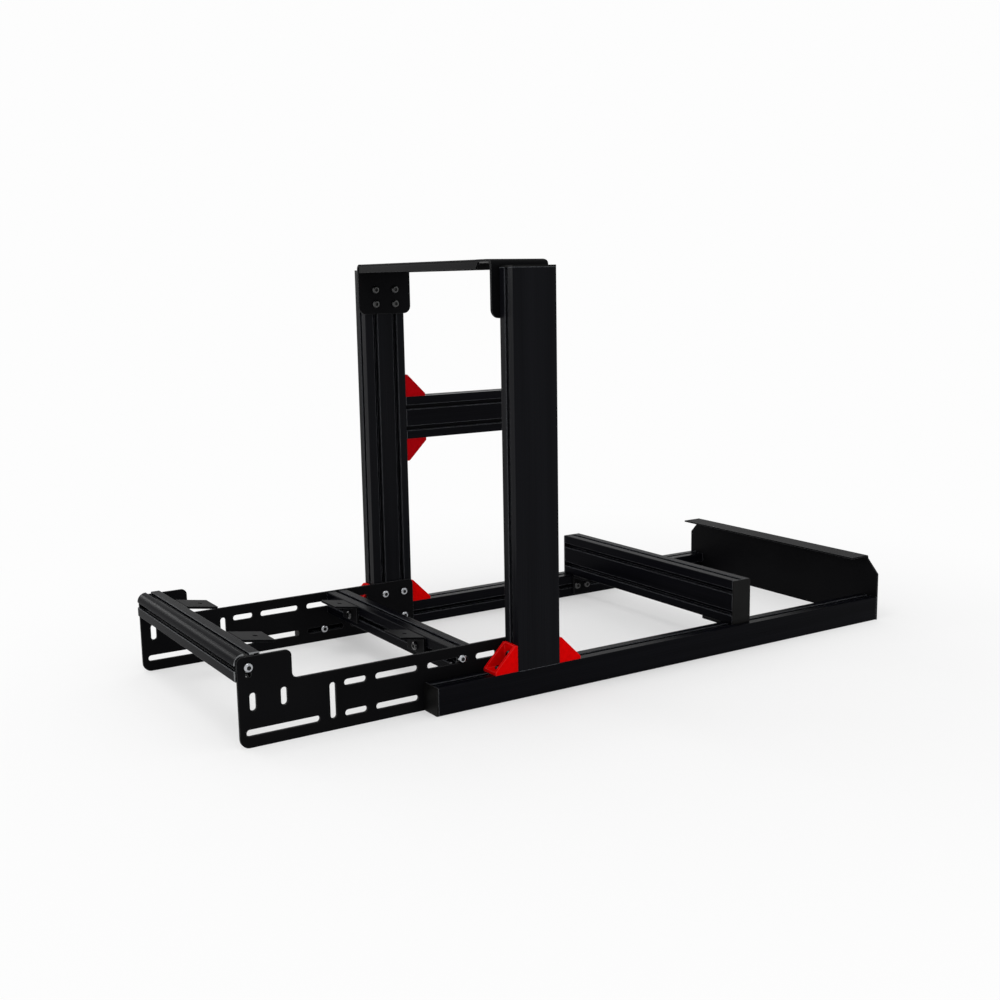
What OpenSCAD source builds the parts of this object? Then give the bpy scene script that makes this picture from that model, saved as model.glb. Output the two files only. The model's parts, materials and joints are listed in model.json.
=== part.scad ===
// Open cockpit frame of slotted aluminium profile with bent and slotted sheet plates.
// X runs along the base rails towards the pedal end, Y to the left, Z up; the floor is Z = 0.

/* [Base rails] */
// Length of each base rail
rail_len = 970; // [850:10:1200]
// Height of each base rail
rail_h = 45; // [44:1:48]
// Distance over the outer faces of the two rails
frame_w = 540; // [500:10:650]

/* [Profiles] */
// Width of the slotted profile
prof = 40; // [40:1:42]
// Long side of the double profile
prof2 = 80; // [80:1:84]
// Opening of a profile slot
slot_open = 8.2; // [8:0.1:8.5]
// Depth of a profile slot
slot_depth = 12.3; // [11:0.1:12.5]
// Radius of the long edges of a profile
edge_r = 2; // [1:0.5:2.5]
// Tapped core hole of a profile
core_d = 6.8; // [5:0.1:7]
// Thickness of the end caps
cap_t = 3; // [2:0.5:5]

/* [Uprights] */
// Rear end of the rail to the rear face of the upright
upright_x = 147; // [140:5:250]
// Height of the upright tops above the floor, without their caps
upright_top = 677; // [600:1:680]

/* [Front arm] */
// Length of the arm in front of the left upright
arm_len = 300; // [200:10:340]
// Underside of the arm above the floor
arm_z = 363; // [250:1:450]

/* [Wheel deck] */
// Top of the deck above the floor
deck_top = 690; // [688:1:780]
// Sheet thickness of the deck and of the seat plates
sheet = 4; // [3:0.5:5]
// Rear overhang of the deck past the uprights
deck_rear = 14; // [5:1:30]
// Front overhang of the deck past the uprights
deck_front = 12; // [5:1:30]
// Outer radius of the bends to the deck's flanges
bend_r = 9; // [7:1:12]
// Drop of the deck's side flanges below its top
flange_drop = 90; // [84:1:110]
// Drop of the stiffening lips below the deck's top
lip_drop = 15; // [10:1:20]
// Shortfall of the rear lip at its right end
lip_short = 36; // [6:1:60]
// Distance between the two rows of slots for the wheel base
wheel_rows = 60; // [50:1:64]
// Distance between the slots of a row
wheel_span = 180; // [100:1:300]
// Length of a slot for the wheel base, from end to end
wheel_slot = 30; // [16:1:34]

/* [Seat plates] */
// Reach of the seat plates behind the rails
plate_back = 304; // [290:1:340]
// Height of the seat plates' strip
strip_h = 92; // [86:1:100]
// Height of the raised rear end
raised_h = 136; // [134:1:150]
// Length of the raised rear end
raised_len = 84; // [74:1:90]
// Width of the slots in the seat plates
plate_slot = 10; // [9:0.5:10.5]
// Height of the upper row of slots
row_high = 70; // [66:1:74]
// Middle of the pattern of two long and two short slots in each row
pattern_x = -4.5; // [-10:0.5:0]
// Length of a long slot of the pattern
long_len = 73; // [60:1:76]
// Length of a short slot of the pattern
short_len = 37; // [24:1:40]

/* [Seat crossbars] */
// Middle of the rear crossbar, measured from the rails' rear ends
rear_bar_x = -287; // [-295:1:-280]
// Middle of the rear crossbar above the floor
rear_bar_z = 120; // [116:1:124]
// Middle of the front crossbar, measured from the rails' rear ends
front_bar_x = 66; // [50:1:80]
// Middle of the front crossbar above the floor
front_bar_z = 71; // [66:1:76]
// Radius of the rear crossbar's rounded rear edge
nose_r = 15; // [5:1:15]
// Width of a seat tab
tab_w = 56; // [40:1:60]
// Reach of a rear seat tab from its crossbar
rear_tab_len = 56; // [44:1:60]
// Reach of a front seat tab from its crossbar
front_tab_len = 46; // [40:1:50]
// Sideways distance of the seat tabs from the middle
tab_y = 122; // [100:1:160]
// Hole in a seat tab
tab_hole_d = 9; // [8:0.1:11]
// Distance from the rear crossbar to the hole in its tabs
rear_tab_hole = 35; // [20:1:36]
// Distance from the front crossbar to the hole in its tabs
front_tab_hole = 24; // [20:1:30]
// Slope of the seat tabs, down towards the pedal end, in degrees
tab_tilt = 9; // [0:1:12]

/* [Pedal end] */
// Rear end of the rail to the rear face of the pedal crossbar
pedal_x = 610; // [600:5:800]
// Shortfall of the pedal crossbar at each side
pedal_inset = 10; // [0:1:20]
// Thickness of the pedal back plate
back_t = 3; // [2:0.5:4]
// Height of the pedal back plate
back_h = 123; // [110:1:140]
// Depth of its folded top flange
back_flange = 42; // [30:1:60]
// Width of its cut-off top corners
back_cut_y = 26; // [10:1:40]
// Height of its cut-off top corners
back_cut_z = 33; // [10:1:50]

/* [Brackets] */
// Leg of a cast corner bracket
bracket_leg = 42; // [38:1:44]
// Width of a cast corner bracket
bracket_w = 36; // [30:1:38]
// Wall of a cast corner bracket
bracket_t = 5; // [4:0.5:6]
// Leg of a flat angle along the underside of the pedal crossbar
angle_run = 57; // [40:1:60]
// Leg of a flat angle down the inner face of the rail
angle_leg = 40; // [36:1:40]

/* [Hidden] */
half_w = frame_w / 2;
inner_y = half_w - prof;
plate_y = inner_y - sheet;
upright_front = upright_x + prof2;
upright_slots = [upright_x + prof2 / 4, upright_x + prof2 * 3 / 4];
// Puts the origin under the middle of the whole frame
mid_x = (rail_len + back_t + rear_bar_x - prof / 2) / 2;
// Slot and cavity forms inside a profile
lip_t = 4.5;
mouth = 0.8;
chamber_w = 18;
chamber_side = 2.6;
chamber_foot = 9;
skin_t = 2.2;
corner_cavity = 6.5;
middle_cavity = 17;
all_corners = [[0, 0], [1, 0], [0, 1], [1, 1]];
// Slots and corners of the seat plates
row_low = rail_h / 2;
pattern_middle = 17;
pattern_gap = 15;
floor_slot = [10, 125];
side_slots = [22, 70];
side_slot = [54.5, 81.5];
tall_slot_x = -157;
tall_slot = [18, 74];
bar_slot = [-15, 7];
plate_corner = 9;
plate_foot = 15;
// Deck details
deck_w = deck_rear + prof2 + deck_front;
flange_r = 14;
lip_r = 5;
lip_gap = 6;
lip_slope = 8;
flange_bolts = [18, 44];
bolt_d = 9;
// Angles and brackets
angle_t = 5;
angle_corner = 8;
angle_bolts = [8, 32];
bracket_hole = 24;
bracket_nose = 5;
tab_drop = 30;
tab_below = [1, 0];
// Reach of a cutter past the faces it cuts
over = 1;
black = [0.09, 0.09, 0.1];
dark = [0.13, 0.13, 0.14];
red = [0.8, 0.05, 0.1];

// Slot centres along one side of a profile: one for each unit of its width
function centres(size) = let (n = round(size / prof)) [for (i = [0 : n - 1]) (i + 0.5) * size / n];

// Moves what is drawn from the rail's rear end to the frame's own origin
module placed() {
    translate([-mid_x, 0, 0]) children();
}

// Draws the right side from the form of the left side
module right_side() {
    placed() mirror([0, 1, 0]) children();
}

// Bar along X from its section in Y and Z
module bar_x(len) {
    rotate([90, 0, 90]) linear_extrude(len) children();
}

// Bar along Y, centred, from its section in X and Z
module bar_y(len) {
    translate([0, len / 2, 0]) rotate([90, 0, 0]) linear_extrude(len) children();
}

// Rectangle with four round corners of the same radius
module round_rect(w, h, r) {
    translate([r, 0]) square([w - 2 * r, h]);
    translate([0, r]) square([w, h - 2 * r]);
    for (x = [r, w - r], y = [r, h - r]) translate([x, y]) circle(r = r, $fn = 32);
}

// Slot with round ends, along X, between two outer ends
module long_slot(x0, x1, wide) {
    translate([x0 + wide / 2, -wide / 2]) square([x1 - x0 - wide, wide]);
    for (x = [x0 + wide / 2, x1 - wide / 2]) translate([x, 0]) circle(d = wide, $fn = 32);
}

// The same slot standing, between two heights
module standing_slot(x, z0, z1, wide) {
    translate([x, 0]) rotate(90) long_slot(z0, z1, wide);
}

// What lies outside a round corner at the origin, towards -X and +Y; its top may slope, in degrees
module outside_round(r, slope = 0) {
    middle_y = -r * (1 - sin(slope)) / cos(slope);
    reach = r + over;
    difference() {
        polygon([
            [r, middle_y], [-over, middle_y], [-over, over],
            [r - reach * sin(slope), middle_y + reach * cos(slope)]
        ]);
        translate([r, middle_y]) circle(r = r, $fn = 48);
    }
}

// Folded sheet, its corner at the origin: one leg along +X, one down, round outside and inside
module fold(run, drop, t, r) {
    difference() {
        translate([0, -drop]) square([run, drop]);
        outside_round(r);
        difference() {
            translate([t, -drop - over]) square([run + over, drop + over - t]);
            translate([t, -t]) outside_round(r - t);
        }
    }
}

// Undercut chamber behind a profile slot, from the given depth below the face
module chamber(from) {
    polygon([
        [-chamber_w / 2, -from], [chamber_w / 2, -from],
        [chamber_w / 2, -from - chamber_side], [chamber_foot / 2, -slot_depth],
        [-chamber_foot / 2, -slot_depth], [-chamber_w / 2, -from - chamber_side]
    ]);
}

// Open slot in the face at Y = 0, with a chamfered mouth, cut downwards
module open_slot() {
    translate([-slot_open / 2, -lip_t - 0.1]) square([slot_open, lip_t + over]);
    polygon([
        [-slot_open / 2 - mouth, 0.01], [slot_open / 2 + mouth, 0.01],
        [slot_open / 2, -mouth], [-slot_open / 2, -mouth]
    ]);
    chamber(lip_t);
}

// Repeats a slot drawn at the top face at each slot centre of one of the section's four faces
module on_face(face, w, h) {
    if (face == "top") for (x = centres(w)) translate([x, h]) children();
    if (face == "bottom") for (x = centres(w)) translate([x, 0]) rotate(180) children();
    if (face == "left") for (y = centres(h)) translate([0, y]) rotate(90) children();
    if (face == "right") for (y = centres(h)) translate([w, y]) rotate(-90) children();
}

// Cavity in each corner of the section, and one between the two halves of a double profile
module cavities(w, h, corners) {
    far = skin_t + corner_cavity;
    for (c = corners)
        translate([c[0] > 0 ? w - far : skin_t, c[1] > 0 ? h - far : skin_t]) square(corner_cavity);
    if (w > 1.5 * prof)
        translate([(w - middle_cavity) / 2, skin_t]) square([middle_cavity, h - 2 * skin_t]);
    if (h > 1.5 * prof)
        translate([skin_t, (h - middle_cavity) / 2]) square([w - 2 * skin_t, middle_cavity]);
}

// Cross-section of a slotted profile: open slots, chambers closed by a skin, core holes, cavities
module section(w, h, open, closed, corners = all_corners) {
    difference() {
        round_rect(w, h, edge_r);
        for (face = open) on_face(face, w, h) open_slot();
        for (face = closed) on_face(face, w, h) chamber(skin_t);
        for (x = centres(w), y = centres(h)) translate([x, y]) circle(d = core_d, $fn = 32);
        cavities(w, h, corners);
    }
}

// Base rail of the left side, with a slot on top and one on its inner face
module rail() {
    translate([0, inner_y, 0]) bar_x(rail_len)
        section(prof, rail_h, ["top", "left"], ["right", "bottom"]);
}

module rail_cap() {
    translate([-cap_t, inner_y, 0]) bar_x(cap_t) round_rect(prof, rail_h, edge_r);
}

// Upright of the left side, with two slots on its inner face and one on each narrow face
module upright() {
    translate([upright_x, inner_y, rail_h]) linear_extrude(upright_top - rail_h)
        section(prof2, prof, ["bottom", "left", "right"], ["top"]);
}

module upright_cap() {
    translate([upright_x, inner_y, upright_top]) linear_extrude(cap_t) round_rect(prof2, prof, edge_r);
}

// Arm in front of the left upright, with two slots on its inner face
module arm() {
    translate([upright_front, inner_y, arm_z]) bar_x(arm_len)
        section(prof, prof2, ["left", "top", "bottom"], ["right"]);
}

module arm_cap() {
    translate([upright_front + arm_len, inner_y, arm_z]) bar_x(cap_t) round_rect(prof, prof2, edge_r);
}

// Side wall of a cast bracket: a triangle with blunt ends
module bracket_side() {
    polygon([
        [0, 0], [bracket_leg, 0], [bracket_leg, bracket_nose],
        [bracket_nose, bracket_leg], [0, bracket_leg]
    ]);
}

// Cast bracket in the corner X > 0, Z > 0, centred on Y, with a bolt hole in each leg
module corner_bracket() {
    difference() {
        bar_y(bracket_w) bracket_side();
        bar_y(bracket_w - 2 * bracket_t) translate([bracket_t, bracket_t]) square(bracket_leg);
        translate([bracket_hole, 0, -over]) cylinder(d = bolt_d, h = bracket_t + 2 * over, $fn = 32);
        translate([-over, 0, bracket_hole]) rotate([0, 90, 0])
            cylinder(d = bolt_d, h = bracket_t + 2 * over, $fn = 32);
    }
}

// Foot bracket on the left rail, in front of or behind the upright
module foot_bracket(front) {
    at = front ? upright_front : upright_x;
    translate([at, half_w - prof / 2, rail_h]) mirror([front ? 0 : 1, 0, 0]) corner_bracket();
}

module arm_bracket(above) {
    at = above ? arm_z + prof2 : arm_z;
    translate([upright_front, half_w - prof / 2, at]) mirror([0, 0, above ? 0 : 1]) corner_bracket();
}

// Outline of a seat plate in X and Z
module seat_plate_outline() {
    step_x = -plate_back + raised_len;
    difference() {
        union() {
            translate([-plate_back, 0]) round_rect(plate_back + upright_front, strip_h, plate_corner);
            translate([-plate_back, 0]) round_rect(raised_len, raised_h, plate_corner);
            translate([step_x, strip_h]) square(plate_corner);
        }
        translate([step_x + plate_corner, strip_h + plate_corner]) circle(r = plate_corner, $fn = 32);
        translate([-plate_back, 0]) mirror([0, 1]) outside_round(plate_foot);
    }
}

// Row of adjusting slots: a long and a short slot to each side of the pattern's middle
module slot_row() {
    first = pattern_middle / 2;
    second = first + long_len + pattern_gap;
    for (side = [0, 1]) mirror([side, 0]) {
        long_slot(first, first + long_len, plate_slot);
        long_slot(second, second + short_len, plate_slot);
    }
}

// Openings of a seat plate: slots and the bolt holes at the upright and the rear crossbar
module seat_plate_cuts() {
    for (z = [row_low, row_high]) translate([pattern_x, z]) slot_row();
    translate([-plate_back, row_low]) long_slot(floor_slot[0], floor_slot[1], plate_slot);
    for (x = side_slots) standing_slot(x - plate_back, side_slot[0], side_slot[1], plate_slot);
    standing_slot(tall_slot_x, tall_slot[0], tall_slot[1], plate_slot);
    standing_slot(rear_bar_x, rear_bar_z + bar_slot[0], rear_bar_z + bar_slot[1], bolt_d);
    for (x = upright_slots, z = [row_low, row_high]) translate([x, z]) circle(d = bolt_d, $fn = 32);
}

// Seat plate of the left side
module seat_plate() {
    translate([0, inner_y, 0]) rotate([90, 0, 0]) linear_extrude(sheet) difference() {
        seat_plate_outline();
        seat_plate_cuts();
    }
}

// Single profile between the seat plates, with a slot on every side
module front_bar() {
    translate([front_bar_x - prof / 2, 0, front_bar_z - prof / 2]) bar_y(2 * plate_y)
        section(prof, prof, ["top", "left", "right", "bottom"], []);
}

// The same with a large round rear top edge
module rear_bar() {
    translate([rear_bar_x - prof / 2, 0, rear_bar_z - prof / 2]) bar_y(2 * plate_y) difference() {
        section(prof, prof, ["top", "left", "right", "bottom"], [], [[0, 0], [1, 0], [1, 1]]);
        translate([0, prof]) outside_round(nose_r);
    }
}

// Side view of an angle tab: its upper leg slopes down by a tilt, its other leg is flat against X = 0
module tab_side(run, tilt) {
    difference() {
        union() {
            rotate(-tilt) translate([0, -sheet]) square([run, sheet]);
            translate([0, -tab_drop]) square([sheet, tab_drop]);
        }
        translate([-2 * sheet, -tab_drop]) square([2 * sheet, tab_drop + sheet]);
        outside_round(sheet, max(-tilt, 0));
    }
}

// Angle tab on the face X = 0 of a crossbar, bolted to its slot the given distance below the tab
module seat_tab(run, hole, tilt, bolt_down) {
    difference() {
        bar_y(tab_w) tab_side(run, tilt);
        rotate([0, tilt, 0]) translate([hole, 0, -sheet - over])
            cylinder(d = tab_hole_d, h = sheet + 2 * over, $fn = 32);
        translate([-over, 0, -bolt_down]) rotate([0, 90, 0])
            cylinder(d = bolt_d, h = sheet + 2 * over, $fn = 32);
    }
}

// The rear tabs reach forwards from the rear crossbar, the front tabs backwards from the front one
module rear_tab(side) {
    down = prof / 2 - tab_below[0];
    translate([rear_bar_x + prof / 2, side * tab_y, rear_bar_z + down])
        seat_tab(rear_tab_len, rear_tab_hole, tab_tilt, down);
}

module front_tab(side) {
    down = prof / 2 - tab_below[1];
    translate([front_bar_x - prof / 2, side * tab_y, front_bar_z + down]) mirror([1, 0, 0])
        seat_tab(front_tab_len, front_tab_hole, -tab_tilt, down);
}

// Double profile on edge across the rails, with two slots at its rear face and one on top
module pedal_bar() {
    translate([pedal_x, 0, rail_h]) bar_y(frame_w - 2 * pedal_inset - 2 * cap_t)
        section(prof, prof2, ["left", "top", "bottom"], ["right"]);
}

module pedal_cap() {
    translate([pedal_x, half_w - pedal_inset - cap_t / 2, rail_h]) bar_y(cap_t)
        round_rect(prof, prof2, edge_r);
}

// Flat angle under the pedal crossbar against the inner face of the left rail
module pedal_bracket() {
    deep = angle_t + 2 * over;
    translate([pedal_x, inner_y, rail_h]) difference() {
        intersection() {
            mirror([0, 1, 0]) bar_x(prof) fold(angle_run, angle_leg, angle_t, angle_t + over);
            translate([0, -angle_run, -rail_h]) linear_extrude(rail_h + over)
                round_rect(prof, angle_run + 2 * angle_corner, angle_corner);
        }
        translate([prof / 2, -angle_run / 2, -angle_t - over]) cylinder(d = bolt_d, h = deep, $fn = 32);
        for (x = angle_bolts) translate([x, over, row_low - rail_h]) rotate([90, 0, 0])
            cylinder(d = bolt_d, h = deep, $fn = 32);
    }
}

// Plate across the front ends of the rails, top corners cut off, top edge folded back
module back_plate() {
    flange_w = frame_w - 2 * back_cut_y;
    difference() {
        union() {
            translate([rail_len, 0, 0]) bar_x(back_t) polygon([
                [-half_w, 0], [half_w, 0], [half_w, back_h - back_cut_z],
                [half_w - back_cut_y, back_h - 2 * back_t], [-half_w + back_cut_y, back_h - 2 * back_t],
                [-half_w, back_h - back_cut_z]
            ]);
            translate([rail_len + back_t, 0, back_h]) mirror([1, 0, 0]) bar_y(flange_w)
                fold(back_flange + back_t, 3 * back_t, back_t, back_t + over);
        }
        for (side = [-1, 1]) translate([rail_len - over, side * (half_w - prof / 2), rail_h / 2])
            rotate([0, 90, 0]) cylinder(d = bolt_d, h = back_t + 2 * over, $fn = 32);
    }
}

// Section of the deck in Y and Z: a wide channel, open below, with round bends
module deck_section() {
    for (side = [0, 1]) mirror([side, 0]) translate([-inner_y, 0])
        fold(inner_y + over, flange_drop, sheet, bend_r);
}

// Side view of the deck, with round lower corners on its flanges
module deck_side() {
    translate([0, -flange_drop]) round_rect(deck_w, flange_drop, flange_r);
    translate([0, -flange_drop / 2]) square([deck_w, flange_drop / 2]);
}

// Runs a form along one of the deck's two long edges, between two distances from its middle
module along_edge(front, from, to) {
    translate([front * deck_w, to, 0]) mirror([front, 0, 0])
        rotate([90, 0, 0]) linear_extrude(to - from) children();
}

// Deck from its rear edge, its top at Z = 0
module deck_plate() {
    lip_from = [lip_short - plate_y, lip_gap - plate_y];
    lip_to = plate_y - lip_gap;
    difference() {
        union() {
            intersection() {
                bar_x(deck_w) deck_section();
                bar_y(frame_w) deck_side();
            }
            for (front = [0, 1]) along_edge(front, lip_from[front], lip_to)
                translate([0, -lip_drop]) square([sheet, lip_drop - over]);
        }
        along_edge(0, lip_from[0] + lip_slope / 2, lip_to) outside_round(lip_r);
        along_edge(1, -half_w, half_w) outside_round(lip_r);
        translate([-over, lip_from[0], 0]) bar_x(sheet + 2 * over)
            polygon([[-over, -sheet], [-over, -lip_drop - over], [lip_slope, -lip_drop - over]]);
        for (x = upright_slots, z = flange_bolts)
            translate([x - upright_x + deck_rear, half_w, z - flange_drop]) rotate([90, 0, 0])
                cylinder(d = bolt_d, h = frame_w, $fn = 32);
        for (row = [-1, 1], side = [-1, 1])
            translate([(deck_w + row * wheel_rows) / 2, side * wheel_span / 2, -sheet - over])
                linear_extrude(sheet + 2 * over) long_slot(-wheel_slot / 2, wheel_slot / 2, bolt_d);
    }
}

module deck() {
    translate([upright_x - deck_rear, 0, deck_top]) deck_plate();
}

module right_base_rail() { color(black) right_side() rail(); }
module left_base_rail() { color(black) placed() rail(); }
module right_rail_cap() { color(dark) right_side() rail_cap(); }
module left_rail_cap() { color(dark) placed() rail_cap(); }
module right_upright() { color(black) right_side() upright(); }
module left_upright() { color(black) placed() upright(); }
module right_upright_cap() { color(dark) right_side() upright_cap(); }
module left_upright_cap() { color(dark) placed() upright_cap(); }
module wheel_deck() { color(dark) placed() deck(); }
module front_arm() { color(black) placed() arm(); }
module front_arm_cap() { color(dark) placed() arm_cap(); }
module right_foot_bracket_rear() { color(red) right_side() foot_bracket(false); }
module left_foot_bracket_rear() { color(red) placed() foot_bracket(false); }
module right_foot_bracket_front() { color(red) right_side() foot_bracket(true); }
module left_foot_bracket_front() { color(red) placed() foot_bracket(true); }
module arm_bracket_upper() { color(red) placed() arm_bracket(true); }
module arm_bracket_lower() { color(red) placed() arm_bracket(false); }
module right_seat_plate() { color(dark) right_side() seat_plate(); }
module left_seat_plate() { color(dark) placed() seat_plate(); }
module rear_seat_crossbar() { color(black) placed() rear_bar(); }
module front_seat_crossbar() { color(black) placed() front_bar(); }
module rear_right_seat_tab() { color(dark) placed() rear_tab(-1); }
module rear_left_seat_tab() { color(dark) placed() rear_tab(1); }
module front_right_seat_tab() { color(dark) placed() front_tab(-1); }
module front_left_seat_tab() { color(dark) placed() front_tab(1); }
module pedal_crossbar() { color(black) placed() pedal_bar(); }
module right_pedal_cap() { color(dark) right_side() pedal_cap(); }
module left_pedal_cap() { color(dark) placed() pedal_cap(); }
module right_pedal_bracket() { color(dark) right_side() pedal_bracket(); }
module left_pedal_bracket() { color(dark) placed() pedal_bracket(); }
module pedal_back_plate() { color(dark) placed() back_plate(); }

right_base_rail();
left_base_rail();
right_rail_cap();
left_rail_cap();
right_upright();
left_upright();
right_upright_cap();
left_upright_cap();
wheel_deck();
front_arm();
front_arm_cap();
right_foot_bracket_rear();
right_foot_bracket_front();
left_foot_bracket_rear();
left_foot_bracket_front();
arm_bracket_upper();
arm_bracket_lower();
right_seat_plate();
left_seat_plate();
rear_seat_crossbar();
front_seat_crossbar();
rear_right_seat_tab();
rear_left_seat_tab();
front_right_seat_tab();
front_left_seat_tab();
pedal_crossbar();
right_pedal_cap();
left_pedal_cap();
right_pedal_bracket();
left_pedal_bracket();
pedal_back_plate();
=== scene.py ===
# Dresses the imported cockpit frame: finishes, bolts, floor, lights and camera.
import json
import math

import bmesh
import bpy
from mathutils import Matrix, Vector


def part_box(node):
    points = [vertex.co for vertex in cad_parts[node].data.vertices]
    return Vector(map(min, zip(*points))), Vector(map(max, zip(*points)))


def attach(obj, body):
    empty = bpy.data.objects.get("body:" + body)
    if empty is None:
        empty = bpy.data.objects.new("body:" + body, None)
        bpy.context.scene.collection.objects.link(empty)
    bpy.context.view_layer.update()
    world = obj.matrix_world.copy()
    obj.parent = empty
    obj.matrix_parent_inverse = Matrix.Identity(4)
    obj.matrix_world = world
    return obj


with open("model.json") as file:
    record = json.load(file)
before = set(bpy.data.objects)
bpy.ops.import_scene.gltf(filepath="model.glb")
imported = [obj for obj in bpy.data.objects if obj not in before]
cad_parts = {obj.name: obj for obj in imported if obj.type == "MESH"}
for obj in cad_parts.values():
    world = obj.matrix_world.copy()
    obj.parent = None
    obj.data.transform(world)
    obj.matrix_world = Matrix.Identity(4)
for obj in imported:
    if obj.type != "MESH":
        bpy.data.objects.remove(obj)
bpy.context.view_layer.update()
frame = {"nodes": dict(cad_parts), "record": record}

MM = 0.001

# Camera, in the row frame, at the photograph's viewing angle
CAMERA_AT = (-1.2536, -1.9118, 0.6571)
CAMERA_YAW = math.radians(32.29)
CAMERA_PITCH = math.radians(9.71)
CAMERA_ROLL = math.radians(-0.97)
CAMERA_LENS = 46.16
CAMERA_SENSOR = 36.0

# Backdrop: the photograph's ground and background are a very light grey, its shadows faint
BACKDROP = 0.982
FLOOR_COLOR = 0.9
FLOOR_LIFT = 0.06
FLOOR_SIZE = 30.0
FADE_START = 0.1
FADE_END = 1.4
PLAIN_SHARE = 0.2
WORLD_LEVEL = 0.82

# Sizes of the small hardware
BOLT_HEAD_R = 7.3 * MM
BOLT_HEAD_H = 4.4 * MM
BOLT_RIM_H = 0.5 * MM
BOLT_SHANK_R = 4.0 * MM
BOLT_SHANK_L = 12.0 * MM
SOCKET_R = 3.1 * MM
SOCKET_EDGE_R = 4.2 * MM
SOCKET_DEPTH = 2.5 * MM
FLUSH_HEAD_R = 4.3 * MM
FLUSH_HEAD_H = 2.4 * MM
FLUSH_SHANK_R = 3.3 * MM
FLUSH_SOCKET_R = 2.2 * MM
BOLT_BEVEL = 0.2 * MM
SOCKET_LIP = 0.1 * MM
SOCKET_CONE_R = 0.4 * MM
SOCKET_CONE_H = 0.7 * MM
FLUSH_DROP = 0.3 * MM
FLUSH_BEVEL = 0.3 * MM
RING_POINTS = 24
DOME_RINGS = 6
SHARP_ANGLE = math.radians(35)

# Where the bolts sit on the pieces that they hold
SHEET = 4 * MM
CASTING_WALL = 5 * MM
ANGLE_WALL = 5 * MM
PLATE_UPPER_ROW = 70 * MM
PLATE_RAIL_BOLT = 37.5 * MM
DECK_ROWS = (18 * MM, 44 * MM)
BRACKET_BOLT = 24 * MM
PEDAL_BRACKET_BOLT = 8 * MM

# Colours, linear. The profile's go by the way it runs, along X, Y and Z: lit and shaded copies of one
# black finish, painted lighter on the uprights along Z and darker on the bars that lie along X and Y
PROFILE_DARK = ((0.0014, 0.0015, 0.0024), (0.0014, 0.0015, 0.0024), (0.0038, 0.0040, 0.0052))
PROFILE_LIGHT = ((0.0029, 0.0030, 0.0044), (0.0029, 0.0030, 0.0044), (0.0056, 0.0058, 0.0074))
# The profile's edge colour is a painted highlight: light lines where light catches its edges
PROFILE_EDGE_HIGHLIGHT = (0.21, 0.22, 0.24)
SAWN_DARK = (0.14, 0.145, 0.15)
SAWN_LIGHT = (0.26, 0.265, 0.27)
SHEET_DARK = (0.0032, 0.0032, 0.0037)
SHEET_LIGHT = (0.0050, 0.0050, 0.0056)
# The sheet's edge colour is a painted highlight: light lines along its cut edges
SHEET_EDGE_HIGHLIGHT = (0.12, 0.12, 0.125)
RED_DARK = (0.60, 0.0002, 0.0005)
RED_LIGHT = (0.72, 0.0005, 0.0009)
# The arm brackets' red: a darker, shaded copy of the same red casting, painted shade
SHADED_RED_DARK = (0.36, 0.0006, 0.0030)
SHADED_RED_LIGHT = (0.44, 0.0012, 0.0045)
# The casting's edge colour is a painted highlight: pale red lines along its edges
RED_EDGE_HIGHLIGHT = (0.86, 0.07, 0.07)
PLASTIC_DARK = (0.0022, 0.0022, 0.0022)
PLASTIC_LIGHT = (0.0038, 0.0038, 0.0038)
# Bolt sockets: near black, the black bolts' own colour and painted shade in the sockets of the bright
# bolts
SOCKET_DARK = (0.004, 0.004, 0.004)
SOCKET_LIGHT = (0.008, 0.008, 0.008)
ZINC_DARK = (0.30, 0.31, 0.33)
ZINC_LIGHT = (0.50, 0.51, 0.53)
OXIDE_DARK = (0.004, 0.004, 0.0045)
OXIDE_LIGHT = (0.009, 0.009, 0.01)

# Shine of the profile along X, Y and Z: the uprights are satin, the bars that lie are duller, which
# darkens these as part of their painted shade
PROFILE_SHINE = (0.03, 0.012, 0.035)

# Texture scales of the profile, in features a metre
DRAW_LINES_ACROSS = 1400.0
DRAW_LINES_ALONG = 4.0
BANDS_ACROSS = 55.0
BANDS_ALONG = 1.3
SAW_MARKS = (60.0, 900.0, 60.0)
SAWN_FACING = 0.95

X = Vector((1, 0, 0))
Y = Vector((0, 1, 0))
Z = Vector((0, 0, 1))


# Material helpers

def node_maker(tree):
    """A function that adds a node to the tree and sets its inputs and options."""
    def node(kind, **values):
        made = tree.nodes.new(kind)
        for key, value in values.items():
            if key in made.inputs:
                made.inputs[key].default_value = value
            else:
                setattr(made, key, value)
        return made

    return node


def material(name):
    """A new node material, with its link function, its shader and its node maker."""
    mat = bpy.data.materials.new(name)
    mat.use_nodes = True
    tree = mat.node_tree
    return mat, tree.links.new, tree.nodes["Principled BSDF"], node_maker(tree)


def object_place(link, node, scale):
    """Position in the row frame, in metres, stretched by a scale along each axis."""
    place = node("ShaderNodeTexCoord")
    mapping = node("ShaderNodeMapping")
    mapping.inputs["Scale"].default_value = scale
    link(place.outputs["Object"], mapping.inputs["Vector"])
    return mapping.outputs["Vector"]


def noise(link, node, scale, detail=2.0, roughness=0.5):
    """Noise over the position, its features about 1 / scale metres long, scale one or three numbers."""
    if isinstance(scale, float):
        scale = (scale, scale, scale)
    texture = node("ShaderNodeTexNoise", Detail=detail, Roughness=roughness)
    texture.inputs["Scale"].default_value = 1.0
    link(object_place(link, node, scale), texture.inputs["Vector"])
    return texture.outputs["Fac"]


def spread(link, node, value, low, high):
    """Turns a 0 to 1 value into low to high."""
    span = node("ShaderNodeMapRange")
    span.inputs["To Min"].default_value = low
    span.inputs["To Max"].default_value = high
    link(value, span.inputs["Value"])
    return span.outputs["Result"]


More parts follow.
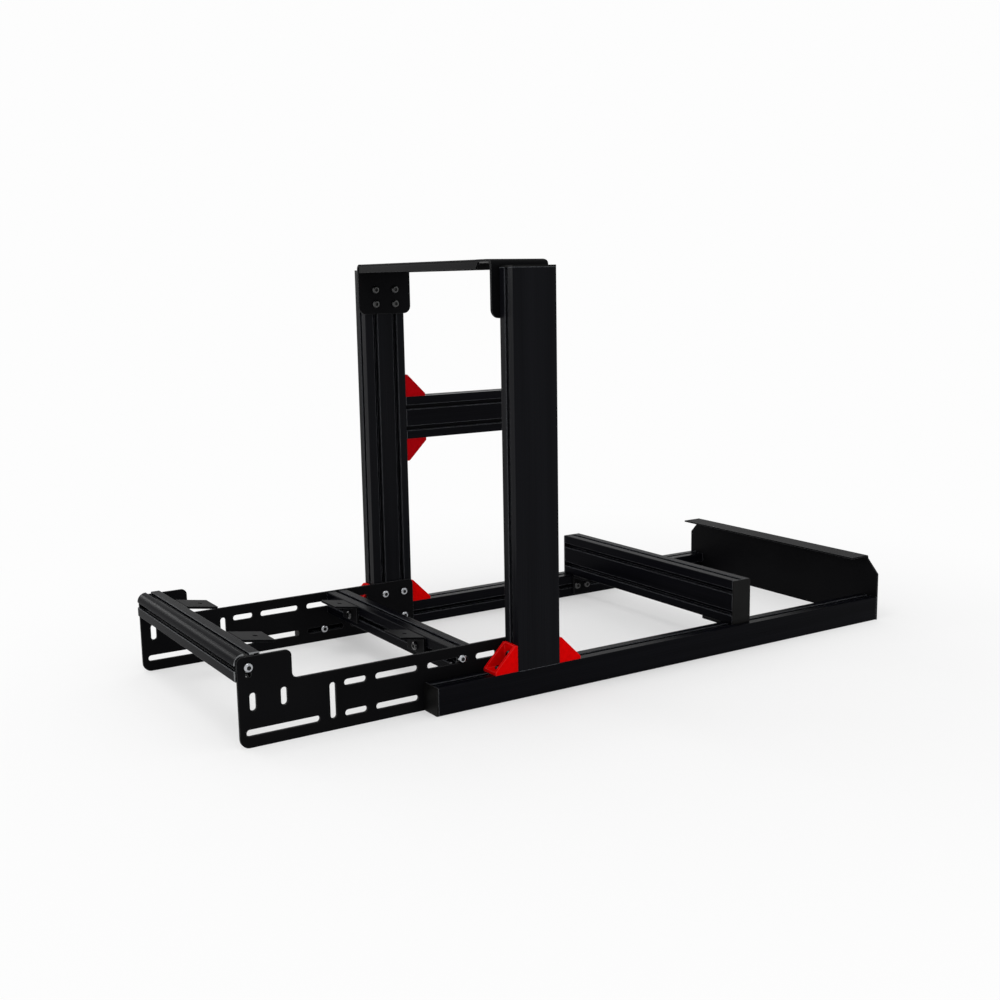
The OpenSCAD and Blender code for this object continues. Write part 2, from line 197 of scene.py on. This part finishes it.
def tint(link, node, value, dark, light):
    """Colour between dark and light by a 0 to 1 value."""
    ramp = node("ShaderNodeValToRGB")
    ramp.color_ramp.elements[0].position = 0.3
    ramp.color_ramp.elements[1].position = 0.7
    ramp.color_ramp.elements[0].color = (*dark, 1)
    ramp.color_ramp.elements[1].color = (*light, 1)
    link(value, ramp.inputs["Fac"])
    return ramp.outputs["Color"]


def bump(link, node, shader, height, strength, distance, edge=0.0):
    """Fine relief on the surface, over edges that are rounded in shading by the given radius."""
    relief = node("ShaderNodeBump", Strength=strength, Distance=distance)
    link(height, relief.inputs["Height"])
    if edge:
        rounding = node("ShaderNodeBevel", samples=6)
        rounding.inputs["Radius"].default_value = edge
        link(rounding.outputs["Normal"], relief.inputs["Normal"])
    link(relief.outputs["Normal"], shader.inputs["Normal"])


# Mask of the painted edge highlights: the finishes lighten their edges by it, towards an edge colour
def painted_edge_highlight(link, node, radius, low, high):
    """0 on flat surface, 1 on sharp edges: the rounded normal turns from high down to low there."""
    rounding = node("ShaderNodeBevel", samples=6)
    rounding.inputs["Radius"].default_value = radius
    flat = node("ShaderNodeNewGeometry")
    turn = node("ShaderNodeVectorMath", operation="DOT_PRODUCT")
    link(rounding.outputs["Normal"], turn.inputs[0])
    link(flat.outputs["Normal"], turn.inputs[1])
    span = node("ShaderNodeMapRange")
    span.inputs["From Min"].default_value = high
    span.inputs["From Max"].default_value = low
    link(turn.outputs["Value"], span.inputs["Value"])
    return span.outputs["Result"]


def blend(link, node, factor, first, second):
    """Mixes two colours by a 0 to 1 value."""
    mix = node("ShaderNodeMix", data_type="RGBA")
    link(factor, mix.inputs["Factor"])
    colors = [socket for socket in mix.inputs if socket.type == "RGBA"]
    for socket, color in zip(colors, (first, second)):
        if isinstance(color, tuple):
            socket.default_value = (*color, 1)
        else:
            link(color, socket)
    return [socket for socket in mix.outputs if socket.type == "RGBA"][0]


# Finishes

def anodised_profile(axis):
    """Satin black anodised profile with draw lines along its length, bare sawn ends and a painted
    highlight along its edges.
    """
    mat, link, shader, node = material("anodised_profile_" + "xyz"[axis])
    lines = [DRAW_LINES_ACROSS] * 3
    lines[axis] = DRAW_LINES_ALONG
    bands = [BANDS_ACROSS] * 3
    bands[axis] = BANDS_ALONG
    draw = noise(link, node, lines, detail=3.0, roughness=0.6)
    band = noise(link, node, bands)
    edge = painted_edge_highlight(link, node, radius=1.2 * MM, low=0.84, high=0.98)

    facing = node("ShaderNodeNewGeometry")
    split = node("ShaderNodeSeparateXYZ")
    link(facing.outputs["Normal"], split.inputs["Vector"])
    size = node("ShaderNodeMath", operation="ABSOLUTE")
    link(split.outputs[axis], size.inputs[0])
    sawn = node("ShaderNodeMath", operation="GREATER_THAN")
    sawn.inputs[1].default_value = SAWN_FACING
    link(size.outputs[0], sawn.inputs[0])
    bare = sawn.outputs[0]

    # Colour by direction: the uprights' copy is painted lighter, the lying bars' darker; the bands are
    # random tone
    dull = tint(link, node, band, PROFILE_DARK[axis], PROFILE_LIGHT[axis])
    # Painted highlight: the edge mask lightens the profile's edges
    black = blend(link, node, edge, dull, PROFILE_EDGE_HIGHLIGHT)
    metal = tint(link, node, noise(link, node, SAW_MARKS), SAWN_DARK, SAWN_LIGHT)
    link(blend(link, node, bare, black, metal), shader.inputs["Base Color"])
    link(bare, shader.inputs["Metallic"])
    link(spread(link, node, draw, low=0.24, high=0.31), shader.inputs["Roughness"])
    shader.inputs["Specular IOR Level"].default_value = PROFILE_SHINE[axis]
    bump(link, node, shader, draw, strength=0.08, distance=0.05 * MM, edge=0.4 * MM)
    return mat


def powder_coat():
    """Fine matt black powder coat on folded sheet, with a painted highlight along its cut edges."""
    mat, link, shader, node = material("powder_coat_black")
    grain = noise(link, node, 1500.0, detail=3.0, roughness=0.6)
    cloud = noise(link, node, 7.0, detail=3.0)
    edge = painted_edge_highlight(link, node, radius=0.8 * MM, low=0.78, high=0.97)
    coat = tint(link, node, cloud, SHEET_DARK, SHEET_LIGHT)
    # Painted highlight: the edge mask lightens the sheet's edges
    link(blend(link, node, edge, coat, SHEET_EDGE_HIGHLIGHT), shader.inputs["Base Color"])
    link(spread(link, node, cloud, low=0.38, high=0.52), shader.inputs["Roughness"])
    shader.inputs["Specular IOR Level"].default_value = 0.02
    bump(link, node, shader, grain, strength=0.35, distance=0.06 * MM, edge=0.5 * MM)
    return mat


def red_casting(name, dark, light):
    """Red powder-coated die casting, paler along its edges as a painted highlight."""
    mat, link, shader, node = material(name)
    grain = noise(link, node, 1100.0, detail=3.0, roughness=0.6)
    cast = noise(link, node, 160.0, detail=3.0)
    edge = painted_edge_highlight(link, node, radius=1.2 * MM, low=0.78, high=0.97)
    coat = tint(link, node, cast, dark, light)
    # Painted highlight: the edge mask lightens the casting's edges
    link(blend(link, node, edge, coat, RED_EDGE_HIGHLIGHT), shader.inputs["Base Color"])
    link(spread(link, node, grain, low=0.40, high=0.55), shader.inputs["Roughness"])
    shader.inputs["Specular IOR Level"].default_value = 0.012
    bump(link, node, shader, cast, strength=0.3, distance=0.12 * MM, edge=0.8 * MM)
    return mat


def moulded_plastic():
    """Moulded black cap with a fine matt grain."""
    mat, link, shader, node = material("moulded_plastic")
    grain = noise(link, node, 2200.0, roughness=0.6)
    cloud = noise(link, node, 40.0)
    link(tint(link, node, cloud, PLASTIC_DARK, PLASTIC_LIGHT), shader.inputs["Base Color"])
    link(spread(link, node, grain, low=0.46, high=0.62), shader.inputs["Roughness"])
    shader.inputs["Specular IOR Level"].default_value = 0.09
    bump(link, node, shader, grain, strength=0.4, distance=0.05 * MM, edge=0.5 * MM)
    return mat


def steel(name, dark, light, metallic, shine):
    """Plated or blackened steel of the bolts, with a fine turned grain."""
    mat, link, shader, node = material(name)
    turned = noise(link, node, 700.0, detail=3.0)
    cloud = noise(link, node, 120.0)
    link(tint(link, node, cloud, dark, light), shader.inputs["Base Color"])
    shader.inputs["Metallic"].default_value = metallic
    link(spread(link, node, turned, low=0.12, high=0.24), shader.inputs["Roughness"])
    shader.inputs["Specular IOR Level"].default_value = shine
    bump(link, node, shader, turned, strength=0.15, distance=0.03 * MM, edge=0.2 * MM)
    return mat


# Hardware meshes

def ring(mesh, radius, height, place, hexagon=False):
    """A ring of points: a circle, or a hexagon that is circumscribed about it."""
    points = []
    for step in range(RING_POINTS):
        angle = 2 * math.pi * step / RING_POINTS
        reach = radius
        if hexagon:
            reach = radius / math.cos((angle + math.pi / 6) % (math.pi / 3) - math.pi / 6)
        at = Vector((reach * math.cos(angle), reach * math.sin(angle), height))
        points.append(mesh.verts.new(place @ at))
    return points


def skin(mesh, rings, socket_from):
    """Walls between the rings, closed at both ends; from ring socket_from on they are the socket's."""
    for number, (low, high) in enumerate(zip(rings, rings[1:])):
        for step in range(RING_POINTS):
            after = (step + 1) % RING_POINTS
            face = mesh.faces.new((low[step], low[after], high[after], high[step]))
            face.material_index = int(number >= socket_from)
    mesh.faces.new(list(reversed(rings[0])))
    mesh.faces.new(rings[-1]).material_index = 1


def seat(at, out):
    """Matrix that stands a bolt on the point at, its head towards out."""
    return Matrix.Translation(at) @ out.to_track_quat("Z", "Y").to_matrix().to_4x4()


def socket_rings(mesh, place, radius, top):
    """Hexagon socket sunk into a head, with the cone that the drill leaves."""
    floor = top - SOCKET_DEPTH
    return [
        ring(mesh, radius, top - SOCKET_LIP, place, hexagon=True),
        ring(mesh, radius, floor, place, hexagon=True),
        ring(mesh, SOCKET_CONE_R, floor - SOCKET_CONE_H, place),
    ]


def button_head(mesh, place):
    """Button-head bolt: shank, rim, dome and hexagon socket in one closed skin."""
    rings = [
        ring(mesh, BOLT_SHANK_R, -BOLT_SHANK_L, place),
        ring(mesh, BOLT_SHANK_R, 0, place),
        ring(mesh, BOLT_HEAD_R - BOLT_BEVEL, 0, place),
        ring(mesh, BOLT_HEAD_R, BOLT_BEVEL, place),
        ring(mesh, BOLT_HEAD_R, BOLT_RIM_H, place),
    ]
    for step in range(1, DOME_RINGS + 1):
        turn = step / DOME_RINGS * math.pi / 2
        reach = SOCKET_EDGE_R + (BOLT_HEAD_R - SOCKET_EDGE_R) * math.cos(turn)
        height = BOLT_RIM_H + (BOLT_HEAD_H - BOLT_RIM_H) * math.sin(turn)
        rings.append(ring(mesh, reach, height, place))
    socket_from = len(rings)
    rings += socket_rings(mesh, place, SOCKET_R, BOLT_HEAD_H)
    skin(mesh, rings, socket_from)


def flush_head(mesh, place):
    """Bolt whose head lies inside a hole, just below the surface."""
    top = -FLUSH_DROP
    under = top - FLUSH_HEAD_H
    rings = [
        ring(mesh, FLUSH_SHANK_R, -BOLT_SHANK_L, place),
        ring(mesh, FLUSH_SHANK_R, under, place),
        ring(mesh, FLUSH_HEAD_R, under + FLUSH_BEVEL, place),
        ring(mesh, FLUSH_HEAD_R, top - FLUSH_BEVEL, place),
        ring(mesh, FLUSH_HEAD_R - FLUSH_BEVEL, top, place),
    ]
    socket_from = len(rings)
    rings += socket_rings(mesh, place, FLUSH_SOCKET_R, top)
    skin(mesh, rings, socket_from)


def bolts(name, places, finishes, head=button_head):
    """One piece that holds every bolt of a group."""
    mesh = bmesh.new()
    for at, out in places:
        head(mesh, seat(Vector(at), out))
    bmesh.ops.recalc_face_normals(mesh, faces=mesh.faces)
    data = bpy.data.meshes.new(name)
    mesh.to_mesh(data)
    mesh.free()
    made = bpy.data.objects.new(name, data)
    bpy.context.scene.collection.objects.link(made)
    for finish in finishes:
        data.materials.append(finish)
    data.shade_smooth()
    data.set_sharp_from_angle(angle=SHARP_ANGLE)
    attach(made, "root")


# Where the hardware goes, from the boxes of the pieces that it holds

def middle(low, high):
    """Halfway between two values."""
    return (low + high) / 2


def bolt_columns(side):
    """The two slots on the wide face of an upright, a quarter of its width from each edge."""
    low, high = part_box(side + "_upright")
    quarter = (high.x - low.x) / 4
    return low.x + quarter, high.x - quarter


def seat_plate_bolts(side):
    """Heads on the inner face of a seat plate: four at the upright and one into the rail."""
    low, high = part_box(side + "_seat_plate")
    inward = -Y if high.y > 0 else Y
    face = low.y if high.y > 0 else high.y
    rail, rail_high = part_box(side + "_base_rail")
    centre = middle(rail.z, rail_high.z)
    rows = (centre, PLATE_UPPER_ROW)
    places = [((x, face, z), inward) for x in bolt_columns(side) for z in rows]
    places.append(((rail.x + PLATE_RAIL_BOLT, face, centre), inward))
    return places


def crossbar_bolts(side, bar):
    """Head on the outer face of a seat plate, in line with the crossbar's core."""
    low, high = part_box(side + "_seat_plate")
    outward = Y if high.y > 0 else -Y
    face = high.y if high.y > 0 else low.y
    bar_low, bar_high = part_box(bar)
    return [((middle(bar_low.x, bar_high.x), face, middle(bar_low.z, bar_high.z)), outward)]


def deck_bolts(side):
    """Four heads on the inner face of a deck flange."""
    low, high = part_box("wheel_deck")
    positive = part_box(side + "_upright")[0].y > 0
    inward = -Y if positive else Y
    face = high.y - SHEET if positive else low.y + SHEET
    rows = [low.z + up for up in DECK_ROWS]
    return [((x, face, z), inward) for x in bolt_columns(side) for z in rows]


def bracket_bolts(name, along, up):
    """One head in each leg of a cast bracket whose legs run towards along and up."""
    low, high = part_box(name)
    foot = low.z if up > 0 else high.z
    back = low.x if along > 0 else high.x
    corner = Vector((back, middle(low.y, high.y), foot))
    return [
        (corner + Vector((along * BRACKET_BOLT, 0, up * CASTING_WALL)), up * Z),
        (corner + Vector((along * CASTING_WALL, 0, up * BRACKET_BOLT)), along * X),
    ]


def tab_bolts(bar, ahead, tabs):
    """One head in the upright leg of each seat tab, at the slot of its crossbar."""
    bar_low, bar_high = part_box(bar)
    face = bar_high.x if ahead > 0 else bar_low.x
    places = []
    for tab in tabs:
        low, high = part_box(tab)
        at = (face + ahead * SHEET, middle(low.y, high.y), middle(bar_low.z, bar_high.z))
        places.append((at, ahead * X))
    return places


def pedal_bracket_bolts(side):
    """One head under the crossbar and two against the rail."""
    low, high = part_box(side + "_pedal_bracket")
    inward = -1 if high.y > 0 else 1
    rail, rail_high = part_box(side + "_base_rail")
    inner = rail.y if high.y > 0 else rail_high.y
    row = middle(rail.z, rail_high.z)
    places = [((middle(low.x, high.x), middle(low.y, high.y), high.z - ANGLE_WALL), -Z)]
    for x in (low.x + PEDAL_BRACKET_BOLT, high.x - PEDAL_BRACKET_BOLT):
        places.append(((x, inner + inward * ANGLE_WALL, row), inward * Y))
    return places


def back_plate_bolts():
    """One head at the core of each rail, on the front of the back plate."""
    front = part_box("pedal_back_plate")[1].x
    places = []
    for side in ("right", "left"):
        rail, rail_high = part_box(side + "_base_rail")
        places.append(((front, middle(rail.y, rail_high.y), middle(rail.z, rail_high.z)), X))
    return places


def add_hardware():
    """Every bolt: bright ones on the seat plates, black ones elsewhere."""
    # Socket finish: the black bolts' own colour, and painted shade in the recess of the bright bolts
    socket = steel("socket_black_and_painted_shade", SOCKET_DARK, SOCKET_LIGHT, metallic=0.0, shine=0.2)
    bright = [steel("zinc_plate", ZINC_DARK, ZINC_LIGHT, metallic=1.0, shine=0.5), socket]
    dark = [steel("black_oxide", OXIDE_DARK, OXIDE_LIGHT, metallic=0.0, shine=0.7), socket]
    for side in ("right", "left"):
        bolts(side + "_seat_plate_bolts", seat_plate_bolts(side), bright)
        bolts(side + "_rear_crossbar_bolt", crossbar_bolts(side, "rear_seat_crossbar"), bright)
        bolts(side + "_front_crossbar_bolt", crossbar_bolts(side, "front_seat_crossbar"), bright)
        bolts(side + "_deck_bolts", deck_bolts(side), dark)
        bolts(side + "_pedal_bracket_bolts", pedal_bracket_bolts(side), dark)
        for end, along in (("rear", -1), ("front", 1)):
            name = side + "_foot_bracket_" + end
            bolts(name + "_bolts", bracket_bolts(name, along, 1), dark)
    bolts("arm_bracket_upper_bolts", bracket_bolts("arm_bracket_upper", 1, 1), dark)
    bolts("arm_bracket_lower_bolts", bracket_bolts("arm_bracket_lower", 1, -1), dark)
    rear_tabs = ("rear_right_seat_tab", "rear_left_seat_tab")
    front_tabs = ("front_right_seat_tab", "front_left_seat_tab")
    bolts("rear_tab_bolts", tab_bolts("rear_seat_crossbar", 1, rear_tabs), dark)
    bolts("front_tab_bolts", tab_bolts("front_seat_crossbar", -1, front_tabs), dark)
    bolts("back_plate_bolts", back_plate_bolts(), dark, head=flush_head)


def add_finishes():
    """A finish for every CAD node, by its slot; profile goes by the way it runs too, in lit and shaded
    copies that paint light and shade.
    """
    profiles = [anodised_profile(axis) for axis in range(3)]
    sheet = powder_coat()
    casting = red_casting("powder_coat_red", RED_DARK, RED_LIGHT)
    shaded_red_casting = red_casting("powder_coat_red_shaded", SHADED_RED_DARK, SHADED_RED_LIGHT)
    cap = moulded_plastic()
    finishes = {"black_sheet_steel": sheet, "red_casting": casting, "black_plastic": cap}
    slots = {part["node"]: part["material_slot"] for part in frame["record"]["subparts"]}
    for name, made in frame["nodes"].items():
        if slots[name] == "black_profile":
            low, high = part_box(name)
            size = high - low
            finish = profiles[max(range(3), key=lambda axis: size[axis])]
        # The arm brackets get the darker copy of the red casting, as painted shade
        elif name.startswith("arm_bracket"):
            finish = shaded_red_casting
        else:
            finish = finishes[slots[name]]
        for holder in made.material_slots:
            holder.material = finish


# Stage, light and camera

def backdrop_rays(link, node):
    """1 for rays from the camera, from reflections and through glass; 0 for light on the object."""
    path = node("ShaderNodeLightPath")
    seen = node("ShaderNodeMath", operation="MAXIMUM")
    either = node("ShaderNodeMath", operation="MAXIMUM")
    link(path.outputs["Is Camera Ray"], seen.inputs[0])
    link(path.outputs["Is Glossy Ray"], seen.inputs[1])
    link(seen.outputs[0], either.inputs[0])
    link(path.outputs["Is Transmission Ray"], either.inputs[1])
    return either.outputs[0]


def add_floor():
    """Pale ground that keeps the shadows near the object and melts into the background."""
    mesh = bmesh.new()
    bmesh.ops.create_grid(mesh, x_segments=1, y_segments=1, size=FLOOR_SIZE)
    data = bpy.data.meshes.new("floor")
    mesh.to_mesh(data)
    mesh.free()
    floor = bpy.data.objects.new("floor", data)
    bpy.context.scene.collection.objects.link(floor)
    mat, link, shader, node = material("floor_white")
    data.materials.append(mat)
    shader.inputs["Base Color"].default_value = (FLOOR_COLOR, FLOOR_COLOR, FLOOR_COLOR, 1)
    shader.inputs["Roughness"].default_value = 1.0
    shader.inputs["Specular IOR Level"].default_value = 0.0
    shader.inputs["Emission Color"].default_value = (1, 1, 1, 1)
    shader.inputs["Emission Strength"].default_value = FLOOR_LIFT
    place = node("ShaderNodeTexCoord")
    reach = node("ShaderNodeVectorMath", operation="LENGTH")
    link(place.outputs["Object"], reach.inputs[0])
    fade = node("ShaderNodeMapRange", interpolation_type="SMOOTHSTEP")
    fade.inputs["From Min"].default_value = FADE_START
    fade.inputs["From Max"].default_value = FADE_END
    fade.inputs["To Min"].default_value = PLAIN_SHARE
    link(reach.outputs["Value"], fade.inputs["Value"])
    share = node("ShaderNodeMath", operation="MULTIPLY")
    link(fade.outputs["Result"], share.inputs[0])
    link(backdrop_rays(link, node), share.inputs[1])
    plain = node("ShaderNodeEmission", Strength=BACKDROP)
    mix = node("ShaderNodeMixShader")
    link(share.outputs[0], mix.inputs[0])
    link(shader.outputs[0], mix.inputs[1])
    link(plain.outputs[0], mix.inputs[2])
    output = [n for n in mat.node_tree.nodes if n.type == "OUTPUT_MATERIAL"][0]
    link(mix.outputs[0], output.inputs["Surface"])


def add_world():
    """Soft light from all around, and the pale background for the camera and for reflections."""
    world = bpy.data.worlds.new("studio")
    bpy.context.scene.world = world
    world.use_nodes = True
    tree = world.node_tree
    tree.nodes.clear()
    link = tree.links.new
    node = node_maker(tree)
    light = node("ShaderNodeBackground", Color=(1, 1, 1, 1), Strength=WORLD_LEVEL)
    pale = node("ShaderNodeBackground", Color=(1, 1, 1, 1), Strength=BACKDROP)
    mix = node("ShaderNodeMixShader")
    output = node("ShaderNodeOutputWorld")
    link(backdrop_rays(link, node), mix.inputs[0])
    link(light.outputs[0], mix.inputs[1])
    link(pale.outputs[0], mix.inputs[2])
    link(mix.outputs[0], output.inputs["Surface"])


def softbox(name, at, target, size, power):
    """Rectangular soft light at a point, turned to a target."""
    lamp = bpy.data.lights.new(name, "AREA")
    lamp.shape = "RECTANGLE"
    lamp.size, lamp.size_y = size
    lamp.energy = power
    holder = bpy.data.objects.new(name, lamp)
    holder.location = at
    holder.rotation_euler = (Vector(target) - Vector(at)).to_track_quat("-Z", "Y").to_euler()
    holder.visible_camera = False
    bpy.context.scene.collection.objects.link(holder)


def add_lights():
    """A softbox overhead, and a strip behind whose reflection runs along the rounded seat bar."""
    softbox("top_softbox", at=(-0.9, -0.5, 2.4), target=(-0.2, 0.0, 0.2), size=(0.9, 0.7), power=8.0)
    softbox("back_strip", at=(-1.5, 2.3, 0.95), target=(-0.55, 0.0, 0.15), size=(1.5, 0.3), power=11.0)


def add_camera():
    """The photograph's camera: place, turn, tilt and roll."""
    ahead = Vector((math.sin(CAMERA_YAW) * math.cos(CAMERA_PITCH),
                    math.cos(CAMERA_YAW) * math.cos(CAMERA_PITCH), -math.sin(CAMERA_PITCH)))
    level_right = Vector((math.cos(CAMERA_YAW), -math.sin(CAMERA_YAW), 0))
    level_up = level_right.cross(ahead)
    right = math.cos(CAMERA_ROLL) * level_right + math.sin(CAMERA_ROLL) * level_up
    up = -math.sin(CAMERA_ROLL) * level_right + math.cos(CAMERA_ROLL) * level_up
    turn = Matrix((right, up, -ahead)).transposed().to_4x4()
    data = bpy.data.cameras.new("camera")
    data.lens = CAMERA_LENS
    data.sensor_width = CAMERA_SENSOR
    camera = bpy.data.objects.new("camera", data)
    camera.matrix_world = Matrix.Translation(CAMERA_AT) @ turn
    bpy.context.scene.collection.objects.link(camera)
    bpy.context.scene.camera = camera


add_camera()
add_world()
add_floor()
add_lights()
add_finishes()
add_hardware()
bpy.context.scene.view_settings.view_transform = "Standard"
